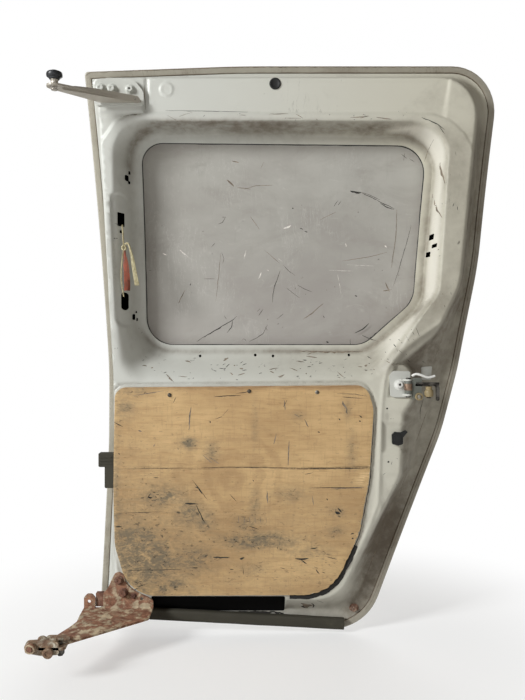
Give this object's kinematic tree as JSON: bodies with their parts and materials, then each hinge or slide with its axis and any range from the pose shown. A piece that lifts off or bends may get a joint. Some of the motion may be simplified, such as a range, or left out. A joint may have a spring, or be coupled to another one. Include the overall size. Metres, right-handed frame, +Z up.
{
  "type": "van sliding door",
  "caption": "Sliding side door of a small van with a blanked window, a plywood lower panel and roller arms at its upper, centre and lower rails",
  "frame": {"origin": "on the flat underside of the lower arm's plate, between its hole and the carriage pivot", "axes": "+X to the rear of the van, +Y out of the van, +Z up"},
  "size_m": [0.9265, 0.355, 1.2039],
  "materials": {
    "door_paint": "aged gloss paint",
    "frame_paint": "thin aged satin paint with scratches",
    "blank_primer": "matt grey primer, scratched",
    "black_rubber": "matt, dusty",
    "plywood": "bare weathered plywood",
    "old_zinc": "dull zinc",
    "arm_steel": "beige grey paint with rusty edges",
    "painted_bolts": "painted over",
    "roller_nylon": "black nylon, dusty",
    "rusty_steel": "rust with peeled cream paint",
    "worn_cast_steel": "worn cream paint over rust",
    "greasy_steel": "dark with grease",
    "aged_nylon": "yellowed nylon",
    "cotton_cord": "undyed twisted cotton",
    "red_webbing": "worn red webbing",
    "black_plastic": "grained"
  },
  "bodies": {
    "door": {"outer_skin": "door_paint", "window_blank": "blank_primer", "window_bead": "black_rubber", "inner_panel": "frame_paint", "plywood_panel": "plywood", "plywood_screws": "old_zinc", "bottom_seal": "black_rubber", "upper_arm": "arm_steel", "upper_arm_bolts": "painted_bolts", "upper_roller_pin": "arm_steel", "lower_arm": "rusty_steel", "lower_arm_bolts": "rusty_steel", "lower_pivot_pin": "greasy_steel", "centre_bracket": "frame_paint", "centre_bracket_bolt": "painted_bolts", "centre_hinge_pin": "greasy_steel", "hinge_reinforcement": "frame_paint", "top_plug": "black_rubber", "rear_grommet": "black_rubber", "corner_bolt": "old_zinc", "front_guide_block": "black_rubber", "pull_cord": "cotton_cord", "pull_strap": "red_webbing", "cord_tassel": "cotton_cord", "handle_base": "black_plastic", "handle_grip": "door_paint"},
    "top_roller": {"upper_roller": "roller_nylon"},
    "lower_truck": {"lower_carriage": "worn_cast_steel", "lower_guide_pins": "greasy_steel", "lower_wheel_axle": "greasy_steel"},
    "front_guide": {"lower_guide_front": "rusty_steel"},
    "rear_guide": {"lower_guide_rear": "greasy_steel"},
    "load_wheel": {"lower_load_wheel": "worn_cast_steel"},
    "centre_truck": {"centre_carriage": "greasy_steel", "centre_guide_pin": "greasy_steel", "centre_wheel_axle": "greasy_steel"},
    "centre_guide": {"centre_guide_roller": "aged_nylon"},
    "centre_wheel": {"centre_load_wheel": "aged_nylon"}
  },
  "joints": [
    {"name": "upper_roller_spin", "type": "hinge", "parent": "door", "child": "top_roller", "pos_m": [-0.049, -0.01659, 1.078], "axis": [0, 0, 1], "continuous": true},
    {"name": "lower_swivel", "type": "hinge", "parent": "door", "child": "lower_truck", "pos_m": [-0.032, -0.069, 0.007], "axis": [0, 0, 1], "range_deg": [-20, 20]},
    {"name": "front_guide_spin", "type": "hinge", "parent": "lower_truck", "child": "front_guide", "pos_m": [-0.048, -0.092, -0.002], "axis": [0, 0, 1], "continuous": true},
    {"name": "rear_guide_spin", "type": "hinge", "parent": "lower_truck", "child": "rear_guide", "pos_m": [-0.017, -0.092, -0.002], "axis": [0, 0, 1], "continuous": true},
    {"name": "load_wheel_spin", "type": "hinge", "parent": "lower_truck", "child": "load_wheel", "pos_m": [-0.065, -0.1155, 0.011], "axis": [0, 1, 0], "continuous": true},
    {"name": "centre_swivel", "type": "hinge", "parent": "door", "child": "centre_truck", "pos_m": [0.658, 0.102, 0.465], "axis": [0, 0, 1], "range_deg": [-35, 6]},
    {"name": "centre_guide_spin", "type": "hinge", "parent": "centre_truck", "child": "centre_guide", "pos_m": [0.701, 0.102, 0.461], "axis": [0, 0, 1], "continuous": true},
    {"name": "centre_wheel_spin", "type": "hinge", "parent": "centre_truck", "child": "centre_wheel", "pos_m": [0.679, 0.096, 0.451], "axis": [0, 1, 0], "continuous": true}
  ]
}
